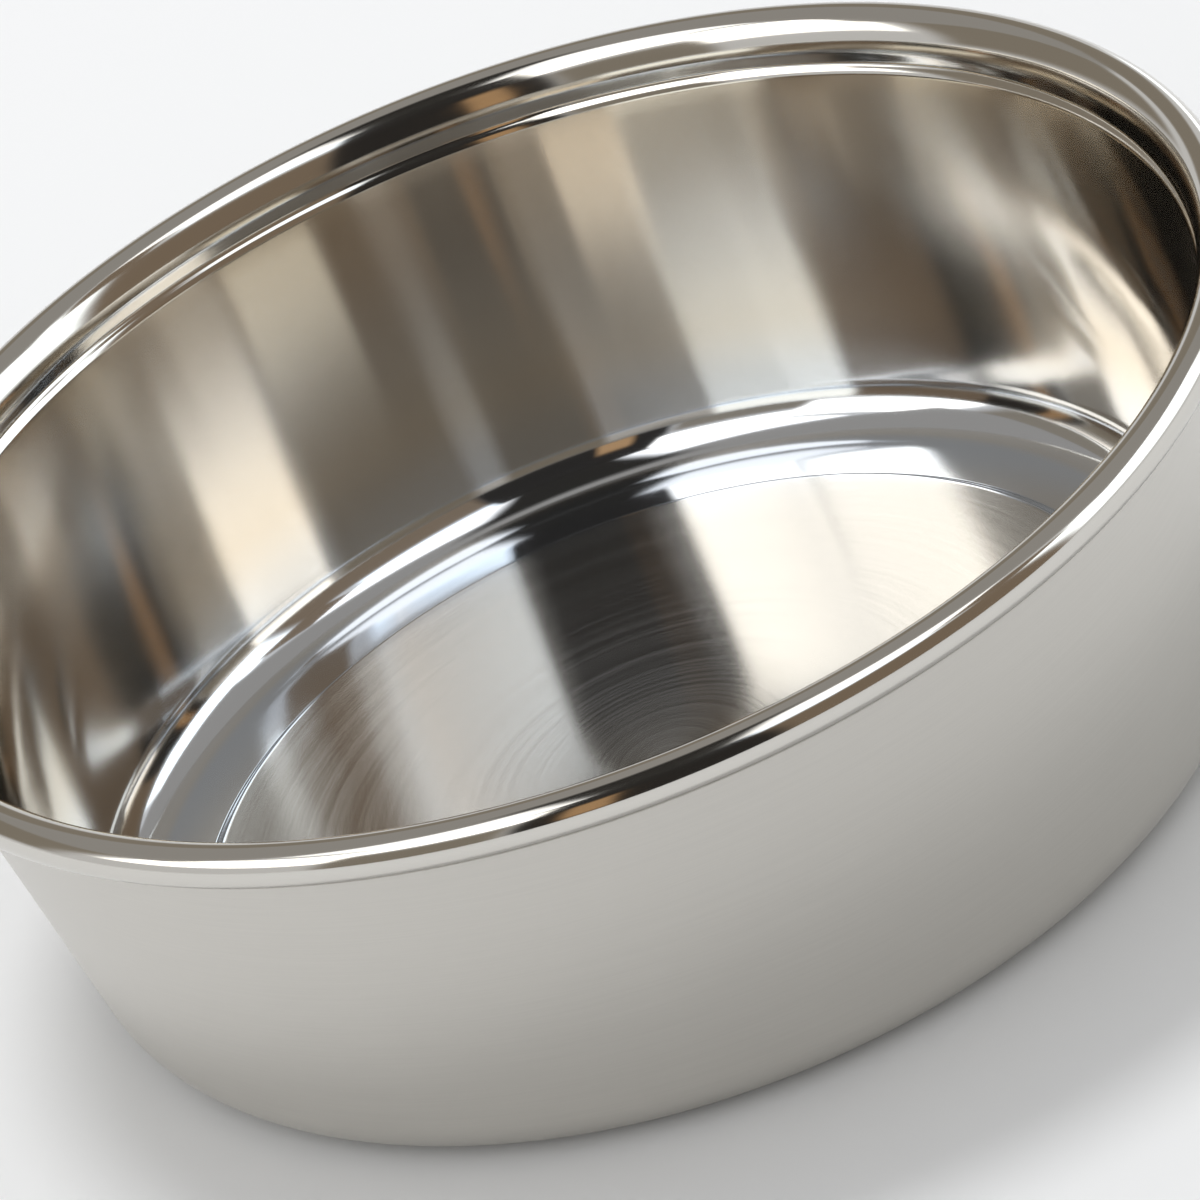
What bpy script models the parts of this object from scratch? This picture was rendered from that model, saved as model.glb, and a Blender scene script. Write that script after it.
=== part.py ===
"""A round, deep-drawn stainless steel cat bowl with an outward rolled rim.

The bowl is one disc of sheet: floor panel, foot, corner, wall, neck and rolled rim follow
each other without a seam. Metres, +Z up, origin at the middle of the plane it stands on.
"""

import math

import bmesh
import bpy
from mathutils import Vector

MM = 0.001

# The sheet and the whole bowl
SHEET = 0.7 * MM
HEIGHT = 45.0 * MM
RIM_RADIUS = 70.0 * MM

# The rolled rim: a round curl whose lip comes up behind it without closing, and the wide
# shoulder that leads over into it from the food side
CURL_RADIUS = 2.1 * MM
CURL_END = math.radians(140.0)
SHOULDER_RADIUS = 5.0 * MM
SHOULDER_ANGLE = math.radians(42.0)

# The short neck below the shoulder, and the ledge where it draws in to the wall
NECK_LENGTH = 0.8 * MM
LEDGE_ANGLE = math.radians(46.0)
LEDGE_BEND = 1.1 * MM

# The wall leans out towards the rim, and runs into the foot by a rounded corner
WALL_LEAN = math.radians(9.0)
CORNER_RADIUS = 6.0 * MM

# The flat foot that the bowl stands on, and the raised floor panel inside it
FOOT_WIDTH = 5.0 * MM
PANEL_RISE = 1.2 * MM
PANEL_ANGLE = math.radians(40.0)
PANEL_BEND = 1.0 * MM

# Facets
AROUND = 64
CURL_FACETS = 12
SHOULDER_FACETS = 3
CORNER_FACETS = 6
BEND_FACETS = 2

STEEL_COLOUR = (0.56, 0.54, 0.505, 1.0)
STEEL_ROUGHNESS = 0.24


def heading(angle):
    """Direction of travel: 0 is straight down, a quarter turn is towards the axis."""
    return Vector((-math.sin(angle), -math.cos(angle)))


def food_side(angle):
    """The sheet's normal on the side that holds food, for that direction of travel."""
    return Vector((-math.cos(angle), math.sin(angle)))


class SheetLine:
    """The middle line of the sheet in (radius, height), laid from the rim down to the axis."""

    def __init__(self):
        self.points = []
        self.normals = []
        self.angle = 0.0

    def add(self, point, normal):
        self.points.append(Vector(point))
        self.normals.append(Vector(normal).normalized())

    def straight(self, length):
        self.add(self.points[-1] + heading(self.angle) * length, food_side(self.angle))

    def bend(self, radius, turn, facets):
        """An arc of the middle line. A positive turn is towards the axis."""
        side = math.copysign(1.0, turn)
        centre = self.points[-1] + food_side(self.angle) * radius * side
        start = self.angle
        for step in range(1, facets + 1):
            self.angle = start + turn * step / facets
            normal = food_side(self.angle)
            self.add(centre - normal * radius * side, normal)


def roll_rim(line):
    """The curl, from its lip round the outside and the top, and then the shoulder."""
    middle = Vector((RIM_RADIUS - CURL_RADIUS, HEIGHT - CURL_RADIUS))
    shoulder_start = math.pi - SHOULDER_ANGLE
    for step in range(CURL_FACETS + 1):
        turn = -CURL_END + (shoulder_start + CURL_END) * step / CURL_FACETS
        normal = Vector((math.cos(turn), math.sin(turn)))
        line.add(middle + normal * (CURL_RADIUS - SHEET / 2), normal)
    line.angle = SHOULDER_ANGLE
    line.bend(SHOULDER_RADIUS - SHEET / 2, -SHOULDER_ANGLE, SHOULDER_FACETS)


def sheet_line():
    """The whole middle line: rim, neck, ledge, wall, corner, foot and floor panel."""
    line = SheetLine()
    roll_rim(line)
    line.straight(NECK_LENGTH)
    line.bend(LEDGE_BEND, LEDGE_ANGLE, BEND_FACETS)
    line.bend(LEDGE_BEND, WALL_LEAN - LEDGE_ANGLE, BEND_FACETS)

    corner = CORNER_RADIUS - SHEET / 2
    corner_drop = corner * (1 - math.sin(WALL_LEAN))
    wall_drop = line.points[-1].y - corner_drop - SHEET / 2
    line.straight(wall_drop / math.cos(WALL_LEAN))
    line.bend(corner, math.pi / 2 - WALL_LEAN, CORNER_FACETS)
    line.straight(FOOT_WIDTH)

    bends_rise = 2 * PANEL_BEND * (1 - math.cos(PANEL_ANGLE))
    line.bend(PANEL_BEND, PANEL_ANGLE, BEND_FACETS)
    line.straight((PANEL_RISE - bends_rise) / math.sin(PANEL_ANGLE))
    line.bend(PANEL_BEND, -PANEL_ANGLE, BEND_FACETS)
    line.straight(line.points[-1].x)
    return line


def sheet_section(line):
    """The sheet's cut face as one run of points, from the floor's middle round the lip and back."""
    half = SHEET / 2
    pairs = list(zip(line.points, line.normals))
    inside = [point + normal * half for point, normal in pairs]
    outside = [point - normal * half for point, normal in pairs]
    lip_way = Vector((line.normals[0].y, -line.normals[0].x))
    lip_tip = line.points[0] - lip_way * half
    return inside[::-1] + [lip_tip] + outside


def turned_mesh(name, section):
    """Spins the section once round the axis into a closed mesh."""
    shape = bmesh.new()
    ring = [shape.verts.new((max(point.x, 0.0), 0.0, point.y)) for point in section]
    edges = [shape.edges.new(pair) for pair in zip(ring, ring[1:])]
    bmesh.ops.spin(
        shape,
        geom=ring + edges,
        cent=(0, 0, 0),
        axis=(0, 0, 1),
        angle=math.tau,
        steps=AROUND,
        use_merge=True,
    )
    bmesh.ops.remove_doubles(shape, verts=shape.verts, dist=SHEET / 1000)
    bmesh.ops.recalc_face_normals(shape, faces=shape.faces)
    mesh = bpy.data.meshes.new(name)
    shape.to_mesh(mesh)
    shape.free()
    mesh.shade_smooth()
    mesh.set_sharp_from_angle(angle=math.radians(50))
    return mesh


def steel():
    """Satin stainless steel."""
    material = bpy.data.materials.new("stainless_steel")
    material.use_nodes = True
    shader = material.node_tree.nodes["Principled BSDF"]
    shader.inputs["Base Color"].default_value = STEEL_COLOUR
    shader.inputs["Metallic"].default_value = 1.0
    shader.inputs["Roughness"].default_value = STEEL_ROUGHNESS
    material.diffuse_color = STEEL_COLOUR
    return material


def make_bowl():
    mesh = turned_mesh("bowl", sheet_section(sheet_line()))
    mesh.materials.append(steel())
    bowl = bpy.data.objects.new("bowl", mesh)
    bpy.context.scene.collection.objects.link(bowl)


def main():
    for old in list(bpy.data.objects):
        bpy.data.objects.remove(old)
    make_bowl()


main()
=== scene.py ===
"""A drawn stainless steel cat bowl: its smooth surface, its steel finishes and a plain stage.

Lengths are in metres. The origin is the middle of the plane that the bowl stands on, and +Z runs up
along the bowl's axis.
"""

import math

import bmesh
import bpy
from bpy.props import FloatProperty, FloatVectorProperty, IntProperty, PointerProperty
from mathutils import Matrix, Vector


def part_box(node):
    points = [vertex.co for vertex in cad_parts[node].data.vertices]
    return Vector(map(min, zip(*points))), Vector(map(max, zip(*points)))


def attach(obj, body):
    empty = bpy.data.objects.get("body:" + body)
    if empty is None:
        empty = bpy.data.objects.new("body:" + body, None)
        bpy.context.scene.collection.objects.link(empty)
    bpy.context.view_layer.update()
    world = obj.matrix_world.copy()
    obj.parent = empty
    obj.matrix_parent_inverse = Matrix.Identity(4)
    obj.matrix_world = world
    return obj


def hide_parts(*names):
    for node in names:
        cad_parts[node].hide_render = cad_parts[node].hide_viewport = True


bl_info = {
    "name": "Drawn steel cat bowl",
    "version": (1, 0, 0),
    "blender": (4, 5, 0),
    "location": "3D View > Sidebar > Cat Bowl",
    "description": "Turns a stainless steel cat bowl, finishes its steel and sets a plain stage",
    "category": "Object",
}

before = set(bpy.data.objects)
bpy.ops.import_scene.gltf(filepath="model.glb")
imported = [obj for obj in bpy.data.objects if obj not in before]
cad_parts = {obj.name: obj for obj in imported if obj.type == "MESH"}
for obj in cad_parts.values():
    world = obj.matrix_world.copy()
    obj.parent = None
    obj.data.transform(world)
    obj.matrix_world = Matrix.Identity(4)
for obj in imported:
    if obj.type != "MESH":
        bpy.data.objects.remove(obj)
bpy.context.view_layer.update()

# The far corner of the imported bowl's box: the rim's radius in X, and the height in Z
BOWL_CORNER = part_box("bowl")[1]

MM = 0.001

# Facets of the smooth surface: round the axis, and along each stretch of the sheet
AROUND = 256
CURL_FACETS = 40
SHOULDER_FACETS = 10
NECK_PARTS = 4
LEDGE_FACETS = 6
WALL_PARTS = 16
CORNER_FACETS = 28
FOOT_PARTS = 4
STEP_FACETS = 8
PANEL_PARTS = 40

# A point of the section that is nearer to the axis than this lies on it
ON_AXIS = 0.001 * MM

# Zones of the sheet, the bowl's material slots, and the slot of each zone on its two sides
RIM, WALL, CORNER, PANEL = range(4)
RIM_SLOT, OUTSIDE_SLOT, INSIDE_SLOT, FLOOR_SLOT = range(4)
INSIDE_SLOTS = {RIM: RIM_SLOT, WALL: INSIDE_SLOT, CORNER: INSIDE_SLOT, PANEL: FLOOR_SLOT}
OUTSIDE_SLOTS = {RIM: RIM_SLOT, WALL: OUTSIDE_SLOT, CORNER: OUTSIDE_SLOT, PANEL: OUTSIDE_SLOT}

# The lines in the steel: how far apart they are, how far one runs, how deep it is, and by what
# share it changes the roughness and darkens the colour. On the polished rim they change the
# roughness alone. Real ones lie some 0.05 mm apart, which is too fine to show, because a pixel of
# the render covers 0.1 mm. So these and the two in BowlFinish are as coarse as they need to show.
RIM_LINE_SPACING = 0.5 * MM
RIM_LINE_RUN = 40 * MM
RIM_UNEVEN = 0.3
BRUSH_RUN = 14 * MM
BRUSH_DEPTH = 0.001 * MM
BRUSH_UNEVEN = 0.15
BRUSH_DARKER = 0.1
SPIN_RUN = 60 * MM
SPIN_DEPTH = 0.0004 * MM
SPIN_UNEVEN = 0.5
SPIN_DARKER = 0.16

# The corner's polish is whole up to here, and fades above it
CORNER_POLISH = 5 * MM

# The polishing waves change this much more slowly up the wall than round it
WAVE_STRETCH = 0.12

# Share of a whole turn between the tangent and the way in which the steel blurs what it shows
QUARTER_TURN = 0.25

# The mix node's colour sockets, whose names its sockets for numbers and vectors have too
MIX_SHARE, MIX_FIRST, MIX_SECOND = 0, 6, 7
MIX_COLOUR = 2

# The floor's side and its drop under the foot, and the distances from the axis at which it starts
# to run into the backdrop's colour and has reached it
FLOOR_SIDE = 6.0
FLOOR_DROP = 0.1 * MM
FADE_START = 0.35
FADE_END = 1.6

# How high the studio's overhead cards hang, and how far from the bowl its upright ones stand
CEILING_HEIGHT = 0.9
STRIPE_HEIGHT = 0.86
ROOM_RADIUS = 1.1

KEY_LAMP_SIZE = 0.6
KEY_LAMP_PLACE = (-0.22, 0.48, 1.9)

# The photograph's frame, in which the rim's middle has its place
PHOTO_SIDE = 1200
SENSOR_WIDTH_MM = 36.0


def linear(hex_colour):
    """An sRGB hex colour as linear red, green and blue."""
    parts = [int(hex_colour[i : i + 2], 16) / 255 for i in (1, 3, 5)]
    return tuple(c / 12.92 if c <= 0.04045 else ((c + 0.055) / 1.055) ** 2.4 for c in parts)


def length(name, default, description):
    return FloatProperty(
        name=name, description=description, default=default, min=0.0, precision=5, unit="LENGTH"
    )


def angle(name, degrees, description):
    return FloatProperty(
        name=name, description=description, default=math.radians(degrees), unit="ROTATION"
    )


def share(name, default, description):
    return FloatProperty(
        name=name, description=description, default=default, min=0.0, max=1.0, subtype="FACTOR"
    )


def colour(name, hex_colour, description):
    return FloatVectorProperty(
        name=name, description=description, default=linear(hex_colour), size=3, subtype="COLOR"
    )


def radiance(name, default, description):
    return FloatProperty(name=name, description=description, default=default, min=0.0)


def pixel(name, default, description):
    return IntProperty(name=name, description=description, default=default, subtype="PIXEL")


class BowlSizes(bpy.types.PropertyGroup):
    """The bowl's own sizes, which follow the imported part."""

    sheet: length("Sheet", 0.7 * MM, "Thickness of the steel sheet")
    height: length("Height", round(BOWL_CORNER.z, 4), "From the foot to the top of the rim")
    rim_radius: length("Rim radius", round(BOWL_CORNER.x, 4), "From the axis to the rim's outside")
    curl_radius: length("Curl radius", 2.1 * MM, "Outside radius of the rolled rim")
    curl_end: angle("Curl end", 140.0, "How far the curl's lip comes round under the rim")
    shoulder_radius: length("Shoulder", 5.0 * MM, "Radius between the rim's top and the neck")
    shoulder_angle: angle("Shoulder angle", 42.0, "Slope at which the curl runs into the shoulder")
    neck_length: length("Neck", 0.8 * MM, "Straight stretch under the shoulder")
    ledge_angle: angle("Ledge angle", 46.0, "How far the ledge under the neck turns inwards")
    ledge_bend: length("Ledge bend", 1.1 * MM, "Radius of the ledge's two bends")
    wall_lean: angle("Wall lean", 9.0, "How far the wall leans out")
    corner_radius: length("Corner radius", 6.0 * MM, "Outside radius between wall and foot")
    foot_width: length("Foot width", 5.0 * MM, "Flat width of the foot")
    panel_rise: length("Panel rise", 1.2 * MM, "How far the floor panel stands above the foot")
    panel_angle: angle("Panel angle", 40.0, "Slope of the step up to the floor panel")
    panel_bend: length("Panel bend", 1.0 * MM, "Radius of the step's two bends")


class BowlFinish(bpy.types.PropertyGroup):
    """Colour and polish of the steel, and how far apart its lines are drawn."""

    steel: colour("Steel", "#D4D1CB", "Colour of the steel outside and on the rim")
    wall_steel: colour("Wall steel", "#DCD5CA", "Colour of the polished wall inside")
    floor_steel: colour("Floor steel", "#DADDE1", "Colour of the corner and the floor panel")
    rim_roughness: share("Rim", 0.09, "Roughness of the polished rim")
    outside_roughness: share("Outside", 0.33, "Roughness of the satin outside")
    wall_roughness: share("Wall", 0.115, "Roughness of the inside wall")
    corner_roughness: share("Corner", 0.06, "Roughness of the polished corner")
    corner_top: length("Corner top", 14.0 * MM, "Height at which the corner's polish has faded")
    floor_roughness: share("Floor", 0.14, "Roughness of the spun floor panel")
    brush_spacing: length("Brush lines", 0.22 * MM, "Spacing of the outside's brush lines")
    spin_spacing: length("Spin lines", 0.5 * MM, "Spacing of the floor's spin lines")
    wave_length: length("Wave length", 14.0 * MM, "Width of the wall's polishing waves")
    wave_depth: length("Wave depth", 0.05 * MM, "Depth of the wall's polishing waves")


class BowlStage(bpy.types.PropertyGroup):
    """The camera, the floor and the light."""

    lens: FloatProperty(name="Lens", description="Focal length", default=240.0, unit="CAMERA")
    elevation: angle("Elevation", 30.91, "How far the camera looks down")
    roll: angle("Roll", -21.63, "How far the camera leans about its own view axis")
    distance: length("Distance", 760.8 * MM, "From the camera to the rim's middle, along the view")
    rim_x: pixel("Rim X", 534, "Where the rim's middle is in the frame, from the left")
    rim_y: pixel("Rim Y", 419, "Where the rim's middle is in the frame, from the top")
    floor: colour("Floor", "#EFF0F1", "Colour of the matt floor")
    backdrop: colour("Backdrop", "#F1F1F1", "Colour behind the floor")
    fill: radiance("Fill", 0.7, "Radiance of the room as it lights the floor")
    room: radiance("Room", 0.7, "Radiance of the pale room as the steel shows it")
    key: FloatProperty(name="Key", description="Light on the floor", default=14.2, unit="POWER")
    overhead: radiance("Overhead", 1.9, "Radiance of the soft light overhead")
    left: radiance("Left", 3.0, "Radiance of the warm light on the left")
    fore: radiance("Fore", 2.2, "Radiance of the cool light high in front on the right")
    right: radiance("Right", 2.2, "Radiance of the cool light on the right")


class SheetLine:
    """The middle line of the sheet in (radius, height), laid from the rim down to the axis.

    Each stretch of it belongs to a zone, which sets the finish of its two sides.
    """

    def __init__(self, sheet):
        self.half = sheet / 2
        self.points = []
        self.normals = []
        self.zones = []
        self.angle = 0.0

    def heading(self):
        """Direction of travel: 0 is straight down, a quarter turn is towards the axis."""
        return Vector((-math.sin(self.angle), -math.cos(self.angle)))

    def food_side(self):
        """The sheet's normal on the side that holds food."""
        return Vector((-math.cos(self.angle), math.sin(self.angle)))

    def add(self, point, normal, zone):
        self.points.append(Vector(point))
        self.normals.append(Vector(normal).normalized())
        self.zones.append(zone)

    def straight(self, distance, zone, parts=1):
        """A straight run on from the last point, cut into equal parts."""
        start = self.points[-1]
        for step in range(1, parts + 1):
            self.add(start + self.heading() * (distance * step / parts), self.food_side(), zone)

    def bend(self, radius, turn, zone, facets):
        """An arc of the middle line. A positive turn is towards the axis."""
        side = math.copysign(1.0, turn)
        centre = self.points[-1] + self.food_side() * radius * side
        start = self.angle
        for step in range(1, facets + 1):
            self.angle = start + turn * step / facets
            self.add(centre - self.food_side() * radius * side, self.food_side(), zone)


def roll_rim(line, sizes):
    """The curl, from its lip round the outside and the top, and the wide shoulder inside it."""
    radius = sizes.curl_radius - line.half
    middle = Vector((sizes.rim_radius, sizes.height)) - Vector((1, 1)) * sizes.curl_radius
    lip = -sizes.curl_end
    top = math.pi - sizes.shoulder_angle
    for step in range(CURL_FACETS + 1):
        turn = lip + (top - lip) * step / CURL_FACETS
        normal = Vector((math.cos(turn), math.sin(turn)))
        line.add(middle + normal * radius, normal, RIM)
    line.angle = sizes.shoulder_angle
    shoulder = sizes.shoulder_radius - line.half
    line.bend(shoulder, -sizes.shoulder_angle, RIM, SHOULDER_FACETS)


def sheet_line(sizes):
    """The whole middle line: rim, neck, ledge, wall, corner, foot and floor panel."""
    line = SheetLine(sizes.sheet)
    roll_rim(line, sizes)
    line.straight(sizes.neck_length, RIM, NECK_PARTS)
    line.bend(sizes.ledge_bend, sizes.ledge_angle, RIM, LEDGE_FACETS)
    line.bend(sizes.ledge_bend, sizes.wall_lean - sizes.ledge_angle, RIM, LEDGE_FACETS)

    corner = sizes.corner_radius - line.half
    corner_drop = corner * (1 - math.sin(sizes.wall_lean))
    wall_drop = line.points[-1].y - corner_drop - line.half
    line.straight(wall_drop / math.cos(sizes.wall_lean), WALL, WALL_PARTS)
    line.bend(corner, math.pi / 2 - sizes.wall_lean, CORNER, CORNER_FACETS)
    line.straight(sizes.foot_width, CORNER, FOOT_PARTS)

    bends_rise = 2 * sizes.panel_bend * (1 - math.cos(sizes.panel_angle))
    slope_length = (sizes.panel_rise - bends_rise) / math.sin(sizes.panel_angle)
    line.bend(sizes.panel_bend, sizes.panel_angle, CORNER, STEP_FACETS)
    line.straight(slope_length, CORNER)
    line.bend(sizes.panel_bend, -sizes.panel_angle, CORNER, STEP_FACETS)
    line.straight(line.points[-1].x, PANEL, PANEL_PARTS)
    return line


def turned_ring(shape, point):
    """A point of the section turned round the axis. On the axis it stays one point."""
    if point.x < ON_AXIS:
        return [shape.verts.new((0.0, 0.0, point.y))] * AROUND
    turns = [math.tau * step / AROUND for step in range(AROUND)]
    return [
        shape.verts.new((point.x * math.cos(turn), point.x * math.sin(turn), point.y))
        for turn in turns
    ]


def turn_shell(name, line):
    """Turns the sheet's cut face once round the axis. Each face carries the slot of its finish."""
    sheet = list(zip(line.points, line.normals))
    inside = [point + normal * line.half for point, normal in sheet]
    outside = [point - normal * line.half for point, normal in sheet]
    lip_way = Vector((line.normals[0].y, -line.normals[0].x))
    lip_tip = line.points[0] - lip_way * line.half
    section = inside[::-1] + [lip_tip] + outside
    inside_slots = [INSIDE_SLOTS[zone] for zone in line.zones[:0:-1]]
    outside_slots = [OUTSIDE_SLOTS[zone] for zone in line.zones[1:]]
    slots = inside_slots + [RIM_SLOT, RIM_SLOT] + outside_slots

    shape = bmesh.new()
    rings = [turned_ring(shape, point) for point in section]
    for ring, next_ring, slot in zip(rings, rings[1:], slots):
        for step in range(AROUND):
            after = (step + 1) % AROUND
            corners = [ring[step], ring[after], next_ring[after], next_ring[step]]
            # On the axis two corners are one point, and the dictionary keeps it once
            face = shape.faces.new(dict.fromkeys(corners))
            face.material_index = slot
            face.smooth = True
    bmesh.ops.recalc_face_normals(shape, faces=shape.faces)
    mesh = bpy.data.meshes.new(name)
    shape.to_mesh(mesh)
    shape.free()
    return mesh


def add_node(tree, kind, inputs=None, **settings):
    """Adds a node with its settings. An input is a value, or the socket that it is linked from."""
    node = tree.nodes.new(kind)
    for name, value in settings.items():
        setattr(node, name, value)
    for name, value in (inputs or {}).items():
        if isinstance(value, bpy.types.NodeSocket):
            tree.links.new(value, node.inputs[name])
        else:
            node.inputs[name].default_value = value
    return node


def new_material(name):
    """A material whose node tree is still empty, and that tree."""
    material = bpy.data.materials.new(name)
    material.use_nodes = True
    tree = material.node_tree
    tree.nodes.clear()
    return material, tree


def place_parts(tree):
    """X, Y and Z of the shaded point, in the bowl's own frame."""
    place = add_node(tree, "ShaderNodeTexCoord").outputs["Object"]
    return add_node(tree, "ShaderNodeSeparateXYZ", {"Vector": place}).outputs


def turning_lines(tree, spacing, run):
    """Noise drawn out round the axis: fine lines as a brush leaves on a turned piece.

    Across the lines the noise follows radius plus height, which grows all the way up the inside.
    """
    parts = place_parts(tree)
    flat = add_node(tree, "ShaderNodeCombineXYZ", {"X": parts["X"], "Y": parts["Y"]})
    radius = add_node(
        tree, "ShaderNodeVectorMath", {0: flat.outputs["Vector"]}, operation="LENGTH"
    ).outputs["Value"]
    path = add_node(tree, "ShaderNodeMath", {0: radius, 1: parts["Z"]}, operation="ADD").outputs[0]
    spread = add_node(tree, "ShaderNodeCombineXYZ", {"X": parts["X"], "Y": parts["Y"], "Z": path})
    drawn = add_node(
        tree,
        "ShaderNodeMapping",
        {"Vector": spread.outputs["Vector"], "Scale": (1 / run, 1 / run, 1 / spacing)},
    )
    return add_node(
        tree,
        "ShaderNodeTexNoise",
        {"Vector": drawn.outputs["Vector"], "Scale": 1.0, "Detail": 3.0, "Roughness": 0.6},
    ).outputs["Fac"]


def upright_waves(tree, spacing):
    """Soft waves that change round the wall and hardly up it, from polishing by hand."""
    place = add_node(tree, "ShaderNodeTexCoord").outputs["Object"]
    drawn = add_node(
        tree,
        "ShaderNodeMapping",
        {"Vector": place, "Scale": (1 / spacing, 1 / spacing, WAVE_STRETCH / spacing)},
    )
    return add_node(
        tree,
        "ShaderNodeTexNoise",
        {"Vector": drawn.outputs["Vector"], "Scale": 1.0, "Detail": 2.0, "Roughness": 0.5},
    ).outputs["Fac"]


def lined_steel(tree, tint, roughness, lines, uneven, darker=0.0, depth=0.0):
    """What the lines do to the steel's colour, roughness and surface, as the shader's inputs.

    The lines change the roughness by a share of its mean to either side, and darken the colour by
    a share where they are deepest.
    """
    inputs = {"Base Color": (*tint, 1.0)}
    inputs["Roughness"] = add_node(
        tree,
        "ShaderNodeMapRange",
        {
            "Value": lines,
            "To Min": roughness * (1 - uneven),
            "To Max": roughness * (1 + uneven),
        },
    ).outputs["Result"]
    if darker:
        dark = [part * (1 - darker) for part in tint]
        inputs["Base Color"] = add_node(
            tree,
            "ShaderNodeMix",
            {MIX_SHARE: lines, MIX_FIRST: (*dark, 1.0), MIX_SECOND: (*tint, 1.0)},
            data_type="RGBA",
        ).outputs[MIX_COLOUR]
    if depth:
        inputs["Normal"] = add_node(
            tree, "ShaderNodeBump", {"Height": lines, "Distance": depth, "Strength": 1.0}
        ).outputs["Normal"]
    return inputs


def bare_steel(tree, inputs, anisotropy):
    """Bare stainless steel. Its tangent runs round the axis, and its blur lies across that."""
    round_axis = add_node(tree, "ShaderNodeTangent", direction_type="RADIAL", axis="Z")
    shader = add_node(
        tree,
        "ShaderNodeBsdfPrincipled",
        {
            **inputs,
            "Metallic": 1.0,
            "Anisotropic": anisotropy,
            "Anisotropic Rotation": QUARTER_TURN,
            "Tangent": round_axis.outputs["Tangent"],
        },
    )
    add_node(tree, "ShaderNodeOutputMaterial", {"Surface": shader.outputs["BSDF"]})


def polished_rim_steel(finish):
    """Stainless steel, rolled and mirror-polished: it shows sharp bands of what is round it."""
    material, tree = new_material("polished_rim_steel")
    lines = turning_lines(tree, RIM_LINE_SPACING, RIM_LINE_RUN)
    inputs = lined_steel(tree, finish.steel, finish.rim_roughness, lines, RIM_UNEVEN)
    bare_steel(tree, inputs, anisotropy=0.0)
    return material


def satin_outside_steel(finish):
    """Stainless steel, brushed to a satin: it blurs the floor into one warm grey."""
    material, tree = new_material("satin_outside_steel")
    lines = turning_lines(tree, finish.brush_spacing, BRUSH_RUN)
    inputs = lined_steel(
        tree,
        finish.steel,
        finish.outside_roughness,
        lines,
        BRUSH_UNEVEN,
        BRUSH_DARKER,
        BRUSH_DEPTH,
    )
    bare_steel(tree, inputs, anisotropy=0.5)
    return material


def polished_inside_steel(finish):
    """Stainless steel, polished on a lathe: it draws what it shows into soft upright streaks.

    The corner below it is whiter and shines more sharply, and runs into the wall without an edge.
    """
    material, tree = new_material("polished_inside_steel")
    waves = upright_waves(tree, finish.wave_length)
    rise = add_node(
        tree,
        "ShaderNodeMapRange",
        {
            "Value": place_parts(tree)["Z"],
            "From Min": CORNER_POLISH,
            "From Max": finish.corner_top,
        },
        interpolation_type="SMOOTHSTEP",
    ).outputs["Result"]
    roughness = add_node(
        tree,
        "ShaderNodeMapRange",
        {"Value": rise, "To Min": finish.corner_roughness, "To Max": finish.wall_roughness},
    )
    tint = add_node(
        tree,
        "ShaderNodeMix",
        {
            MIX_SHARE: rise,
            MIX_FIRST: (*finish.floor_steel, 1.0),
            MIX_SECOND: (*finish.wall_steel, 1.0),
        },
        data_type="RGBA",
    )
    surface = add_node(
        tree, "ShaderNodeBump", {"Height": waves, "Distance": finish.wave_depth, "Strength": 1.0}
    )
    inputs = {
        "Base Color": tint.outputs[MIX_COLOUR],
        "Roughness": roughness.outputs["Result"],
        "Normal": surface.outputs["Normal"],
    }
    bare_steel(tree, inputs, anisotropy=1.0)
    return material


def spun_floor_steel(finish):
    """Stainless steel, spun with an abrasive: fine rings that smear the light along the radius."""
    material, tree = new_material("spun_floor_steel")
    lines = turning_lines(tree, finish.spin_spacing, SPIN_RUN)
    inputs = lined_steel(
        tree,
        finish.floor_steel,
        finish.floor_roughness,
        lines,
        SPIN_UNEVEN,
        SPIN_DARKER,
        SPIN_DEPTH,
    )
    bare_steel(tree, inputs, anisotropy=1.0)
    return material


class CATBOWL_OT_turn_bowl(bpy.types.Operator):
    """Turn the bowl's sheet and give each zone its finish"""

    bl_idname = "cat_bowl.turn_bowl"
    bl_label = "Turn the bowl"

    def execute(self, context):
        if "bowl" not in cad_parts:
            raise RuntimeError("the packed part has no node named bowl")
        scene = context.scene
        mesh = turn_shell("bowl_shell", sheet_line(scene.cat_bowl_sizes))
        finish = scene.cat_bowl_finish
        # In the order of RIM_SLOT, OUTSIDE_SLOT, INSIDE_SLOT and FLOOR_SLOT
        for steel in (
            polished_rim_steel,
            satin_outside_steel,
            polished_inside_steel,
            spun_floor_steel,
        ):
            mesh.materials.append(steel(finish))
        shell = bpy.data.objects.new("bowl_shell", mesh)
        scene.collection.objects.link(shell)
        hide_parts("bowl")
        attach(shell, "root")
        return {"FINISHED"}


def glowing(name, hex_colour, strength):
    """A card that shines evenly up to its edges."""
    material, tree = new_material(name)
    light = add_node(
        tree, "ShaderNodeEmission", {"Color": (*linear(hex_colour), 1.0), "Strength": strength}
    )
    add_node(tree, "ShaderNodeOutputMaterial", {"Surface": light.outputs["Emission"]})
    return material


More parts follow.
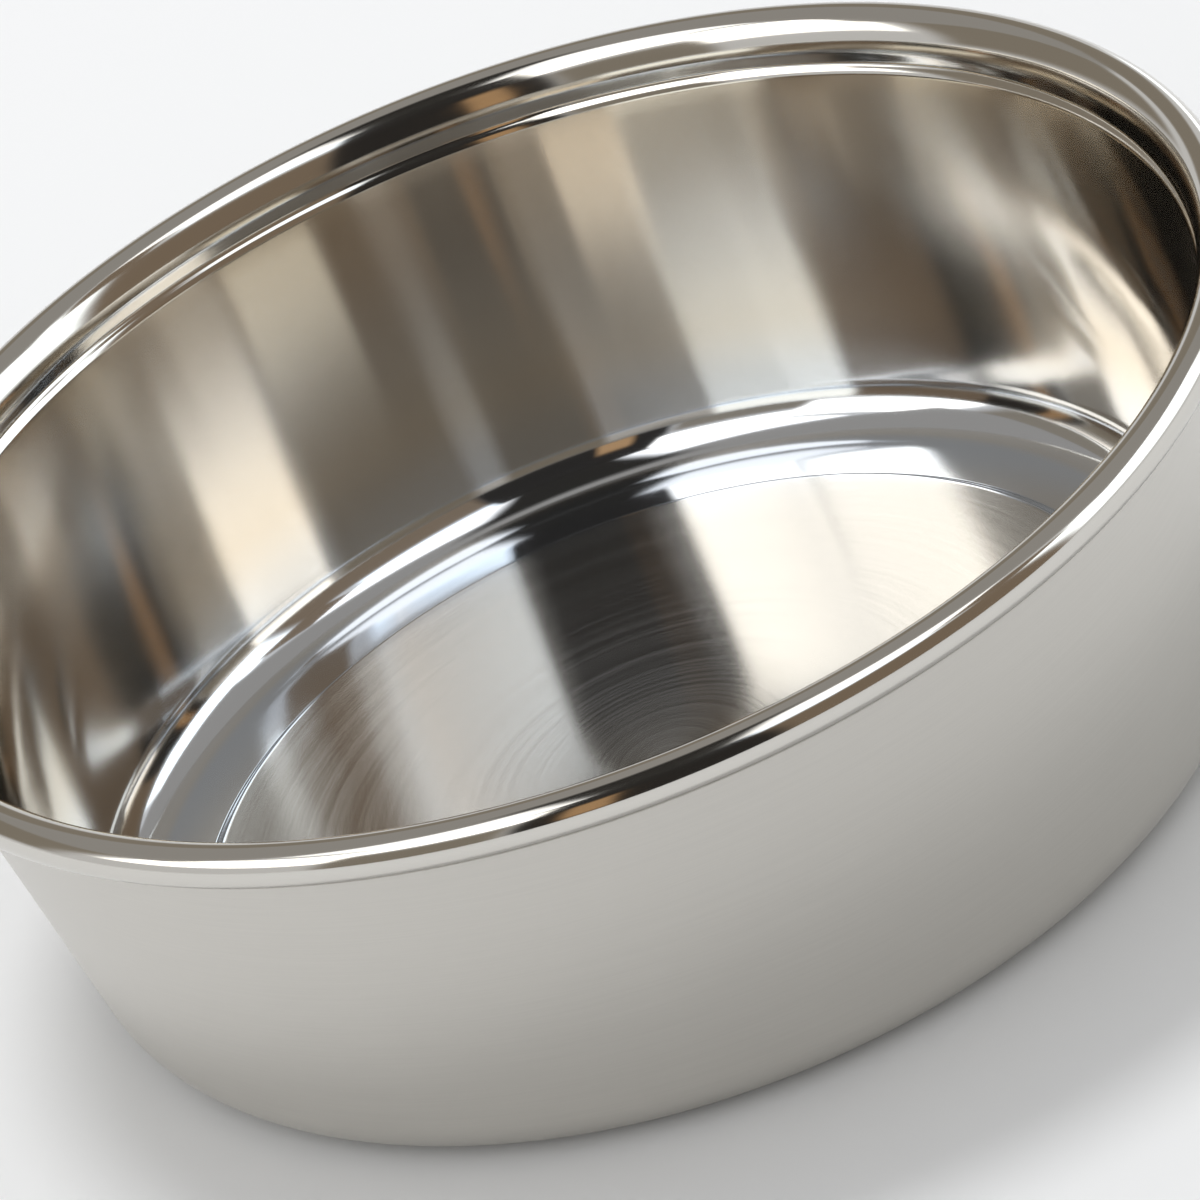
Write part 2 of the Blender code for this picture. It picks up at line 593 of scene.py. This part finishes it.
def soft_edged(name, hex_colour, edge, strength=1.0):
    """Like glowing, but the card fades out over a share of its width and height at its edges."""
    material, tree = new_material(name)
    place = add_node(tree, "ShaderNodeTexCoord").outputs["Generated"]
    across = add_node(tree, "ShaderNodeSeparateXYZ", {"Vector": place}).outputs
    # The place runs from 0 to 1 over the card, so half of that is its middle, and the way from
    # there to an edge too
    half = 0.5
    fades = []
    for side in ("X", "Y"):
        middle = add_node(tree, "ShaderNodeMath", {0: across[side], 1: half}, operation="SUBTRACT")
        away = add_node(tree, "ShaderNodeMath", {0: middle.outputs[0]}, operation="ABSOLUTE")
        fade = add_node(
            tree,
            "ShaderNodeMapRange",
            {"Value": away.outputs[0], "From Min": half, "From Max": half - edge},
            interpolation_type="SMOOTHSTEP",
        )
        fades.append(fade.outputs["Result"])
    shown = add_node(tree, "ShaderNodeMath", {0: fades[0], 1: fades[1]}, operation="MULTIPLY")
    light = add_node(
        tree, "ShaderNodeEmission", {"Color": (*linear(hex_colour), 1.0), "Strength": strength}
    )
    clear = add_node(tree, "ShaderNodeBsdfTransparent")
    card = add_node(
        tree,
        "ShaderNodeMixShader",
        {0: shown.outputs[0], 1: clear.outputs["BSDF"], 2: light.outputs["Emission"]},
    )
    add_node(tree, "ShaderNodeOutputMaterial", {"Surface": card.outputs["Shader"]})
    return material


def flat_piece(name, width, height, material):
    """A flat rectangle of the stage round its own origin, which faces along its Z."""
    side, up = width / 2, height / 2
    mesh = bpy.data.meshes.new(name)
    mesh.from_pydata(
        [(-side, -up, 0), (side, -up, 0), (side, up, 0), (-side, up, 0)], [], [(0, 1, 2, 3)]
    )
    mesh.materials.append(material)
    piece = bpy.data.objects.new(name, mesh)
    bpy.context.scene.collection.objects.link(piece)
    return piece


def add_card(name, material, centre, facing, width, height):
    """A flat card of the studio, out of the camera's sight. It faces along a direction."""
    card = flat_piece(name, width, height, material)
    card.location = centre
    card.rotation_mode = "QUATERNION"
    card.rotation_quaternion = Vector(facing).to_track_quat("Z", "Y")
    card.visible_camera = False
    card.visible_diffuse = False
    card.visible_shadow = False


def add_upright_card(name, material, azimuth, span, low, high):
    """A card of the room's walls, from one elevation to another as seen from the bowl.

    Angles are in degrees. Azimuth 0 is at the camera's side, and it grows to the right.
    """
    turn = math.radians(azimuth)
    foot = ROOM_RADIUS * math.tan(math.radians(low))
    head = ROOM_RADIUS * math.tan(math.radians(high))
    outwards = Vector((math.sin(turn), -math.cos(turn), 0.0))
    centre = outwards * ROOM_RADIUS + Vector((0, 0, (foot + head) / 2))
    width = 2 * ROOM_RADIUS * math.tan(math.radians(span / 2))
    add_card(name, material, centre, -outwards, width, head - foot)


def add_ceiling_cards(stage):
    """A soft light in front, grey behind it, and a dark stripe that crosses the light."""
    down = (0.0, 0.0, -1.0)
    light = glowing("soft_white_light", "#FFFFFF", stage.overhead)
    add_card("overhead_light", light, (-0.03, -0.3, CEILING_HEIGHT), down, width=1.16, height=0.44)
    ceiling = soft_edged("grey_ceiling_card", "#A29F9B", edge=0.05)
    add_card("ceiling_card", ceiling, (0.0, 0.56, CEILING_HEIGHT), down, width=2.4, height=1.28)
    stripe = soft_edged("dark_stripe_card", "#302E2B", edge=0.2)
    place = (-0.02, -0.25, STRIPE_HEIGHT)
    add_card("dark_overhead_card", stripe, place, down, width=0.36, height=0.85)


def add_wall_cards(stage):
    """Soft lights on either side, and plain dark cards where the room is dark."""
    warm = soft_edged("warm_left_light", "#FFFDF8", edge=0.1, strength=stage.left)
    add_upright_card("left_light", warm, azimuth=-72, span=42, low=22, high=51)
    add_upright_card("left_high_light", warm, azimuth=-38, span=32, low=38, high=56)
    fore = soft_edged("cool_fore_light", "#EAF5FF", edge=0.12, strength=stage.fore)
    add_upright_card("fore_light", fore, azimuth=35, span=42, low=49, high=61)
    cool = soft_edged("cool_right_light", "#F6FCFF", edge=0.1, strength=stage.right)
    add_upright_card("right_light", cool, azimuth=94, span=56, low=4, high=46)
    add_upright_card("right_low_light", cool, azimuth=134, span=54, low=-12, high=12)
    dark = soft_edged("dark_room_card", "#302E2C", edge=0.08)
    add_upright_card("dark_front_card", dark, azimuth=-4, span=44, low=-20, high=61)
    brown = soft_edged("brown_room_card", "#867665", edge=0.1)
    add_upright_card("brown_right_card", brown, azimuth=40, span=56, low=-20, high=49)
    add_upright_card("brown_high_card", brown, azimuth=70, span=22, low=40, high=58)
    amber = soft_edged("amber_room_card", "#BC976F", edge=0.25)
    add_upright_card("amber_front_card", amber, azimuth=-13, span=10, low=-5, high=42)
    dim = soft_edged("dim_room_card", "#90887C", edge=0.15)
    add_upright_card("dim_left_card", dim, azimuth=-124, span=64, low=2, high=50)
    add_upright_card("dim_front_card", dim, azimuth=-39, span=32, low=-20, high=38)
    add_upright_card("dim_right_card", dim, azimuth=108, span=32, low=46, high=58)
    add_upright_card("dim_back_card", dim, azimuth=178, span=44, low=14, high=44)


def add_key_lamp(stage):
    """Light for the floor alone: it throws the bowl's soft shadow forward and to the right."""
    data = bpy.data.lights.new("key_lamp", "AREA")
    data.shape = "DISK"
    data.size = KEY_LAMP_SIZE
    data.energy = stage.key
    lamp = bpy.data.objects.new("key_lamp", data)
    bpy.context.scene.collection.objects.link(lamp)
    lamp.location = KEY_LAMP_PLACE
    lamp.rotation_mode = "QUATERNION"
    lamp.rotation_quaternion = (-lamp.location).to_track_quat("-Z", "Y")
    lamp.visible_glossy = False
    lamp.visible_camera = False


def matt_floor_card(stage):
    """Smooth matt card: it takes a soft shadow and shows no gloss.

    Far out it runs into the backdrop's colour, so that no horizon shows.
    """
    material, tree = new_material("matt_floor_card")
    matt = add_node(
        tree, "ShaderNodeBsdfPrincipled", {"Base Color": (*stage.floor, 1.0), "Roughness": 0.9}
    )
    place = add_node(tree, "ShaderNodeTexCoord").outputs["Object"]
    away = add_node(tree, "ShaderNodeVectorMath", {0: place}, operation="LENGTH").outputs["Value"]
    fade = add_node(
        tree,
        "ShaderNodeMapRange",
        {"Value": away, "From Min": FADE_START, "From Max": FADE_END},
        interpolation_type="SMOOTHSTEP",
    )
    far = add_node(tree, "ShaderNodeEmission", {"Color": (*stage.backdrop, 1.0)})
    shader = add_node(
        tree,
        "ShaderNodeMixShader",
        {0: fade.outputs["Result"], 1: matt.outputs["BSDF"], 2: far.outputs["Emission"]},
    )
    add_node(tree, "ShaderNodeOutputMaterial", {"Surface": shader.outputs["Shader"]})
    return material


def add_floor(stage):
    """A wide pale floor just under the foot."""
    floor = flat_piece("floor", FLOOR_SIDE, FLOOR_SIDE, matt_floor_card(stage))
    floor.location.z = -FLOOR_DROP


def set_world(stage):
    """A pale room. What the camera sees of it directly is the backdrop's colour."""
    world = bpy.data.worlds.new("pale_room")
    bpy.context.scene.world = world
    world.use_nodes = True
    tree = world.node_tree
    tree.nodes.clear()
    white = (*linear("#FFFFFF"), 1.0)
    path = add_node(tree, "ShaderNodeLightPath").outputs
    fill = add_node(tree, "ShaderNodeBackground", {"Color": white, "Strength": stage.fill})
    room = add_node(tree, "ShaderNodeBackground", {"Color": white, "Strength": stage.room})
    backdrop = add_node(tree, "ShaderNodeBackground", {"Color": (*stage.backdrop, 1.0)})
    mirrored = add_node(
        tree,
        "ShaderNodeMixShader",
        {0: path["Is Glossy Ray"], 1: fill.outputs["Background"], 2: room.outputs["Background"]},
    )
    either = add_node(
        tree,
        "ShaderNodeMixShader",
        {
            0: path["Is Camera Ray"],
            1: mirrored.outputs["Shader"],
            2: backdrop.outputs["Background"],
        },
    )
    add_node(tree, "ShaderNodeOutputWorld", {"Surface": either.outputs["Shader"]})


def place_camera(stage, rim_middle):
    """The camera of the photograph: it sees the rim's middle at its place in the frame."""
    data = bpy.data.cameras.new("photo_camera")
    data.lens = stage.lens
    data.sensor_width = SENSOR_WIDTH_MM
    camera = bpy.data.objects.new("photo_camera", data)
    bpy.context.scene.collection.objects.link(camera)
    tilt = Matrix.Rotation(math.pi / 2 - stage.elevation, 3, "X")
    turn = tilt @ Matrix.Rotation(stage.roll, 3, "Z")
    pixel_side = stage.distance * SENSOR_WIDTH_MM / (stage.lens * PHOTO_SIDE)
    across = (stage.rim_x - PHOTO_SIDE / 2) * pixel_side
    up = (PHOTO_SIDE / 2 - stage.rim_y) * pixel_side
    seen_at = Vector((across, up, -stage.distance))
    camera.matrix_world = Matrix.Translation(rim_middle - turn @ seen_at) @ turn.to_4x4()
    bpy.context.scene.camera = camera


class CATBOWL_OT_set_stage(bpy.types.Operator):
    """Add the camera, the pale floor and the soft light"""

    bl_idname = "cat_bowl.set_stage"
    bl_label = "Set the stage"

    def execute(self, context):
        scene = context.scene
        stage = scene.cat_bowl_stage
        sizes = scene.cat_bowl_sizes
        add_floor(stage)
        set_world(stage)
        add_ceiling_cards(stage)
        add_wall_cards(stage)
        add_key_lamp(stage)
        place_camera(stage, Vector((0.0, 0.0, sizes.height - sizes.curl_radius)))
        scene.view_settings.view_transform = "Standard"
        return {"FINISHED"}


class CATBOWL_PT_sidebar(bpy.types.Panel):
    """The bowl's sizes, its finish and its stage, and the operators that make them"""

    bl_label = "Cat Bowl"
    bl_idname = "CATBOWL_PT_sidebar"
    bl_space_type = "VIEW_3D"
    bl_region_type = "UI"
    bl_category = "Cat Bowl"

    def draw(self, context):
        for group in (
            context.scene.cat_bowl_sizes,
            context.scene.cat_bowl_finish,
            context.scene.cat_bowl_stage,
        ):
            box = self.layout.box()
            for name in group.__annotations__:
                box.prop(group, name)
        self.layout.operator(CATBOWL_OT_turn_bowl.bl_idname)
        self.layout.operator(CATBOWL_OT_set_stage.bl_idname)


CLASSES = (
    BowlSizes,
    BowlFinish,
    BowlStage,
    CATBOWL_OT_turn_bowl,
    CATBOWL_OT_set_stage,
    CATBOWL_PT_sidebar,
)


def register():
    for cls in CLASSES:
        bpy.utils.register_class(cls)
    bpy.types.Scene.cat_bowl_sizes = PointerProperty(type=BowlSizes)
    bpy.types.Scene.cat_bowl_finish = PointerProperty(type=BowlFinish)
    bpy.types.Scene.cat_bowl_stage = PointerProperty(type=BowlStage)


def unregister():
    del bpy.types.Scene.cat_bowl_stage
    del bpy.types.Scene.cat_bowl_finish
    del bpy.types.Scene.cat_bowl_sizes
    for cls in reversed(CLASSES):
        bpy.utils.unregister_class(cls)


def main():
    register()
    bpy.ops.cat_bowl.turn_bowl()
    bpy.ops.cat_bowl.set_stage()


if __name__ == "__main__":
    main()
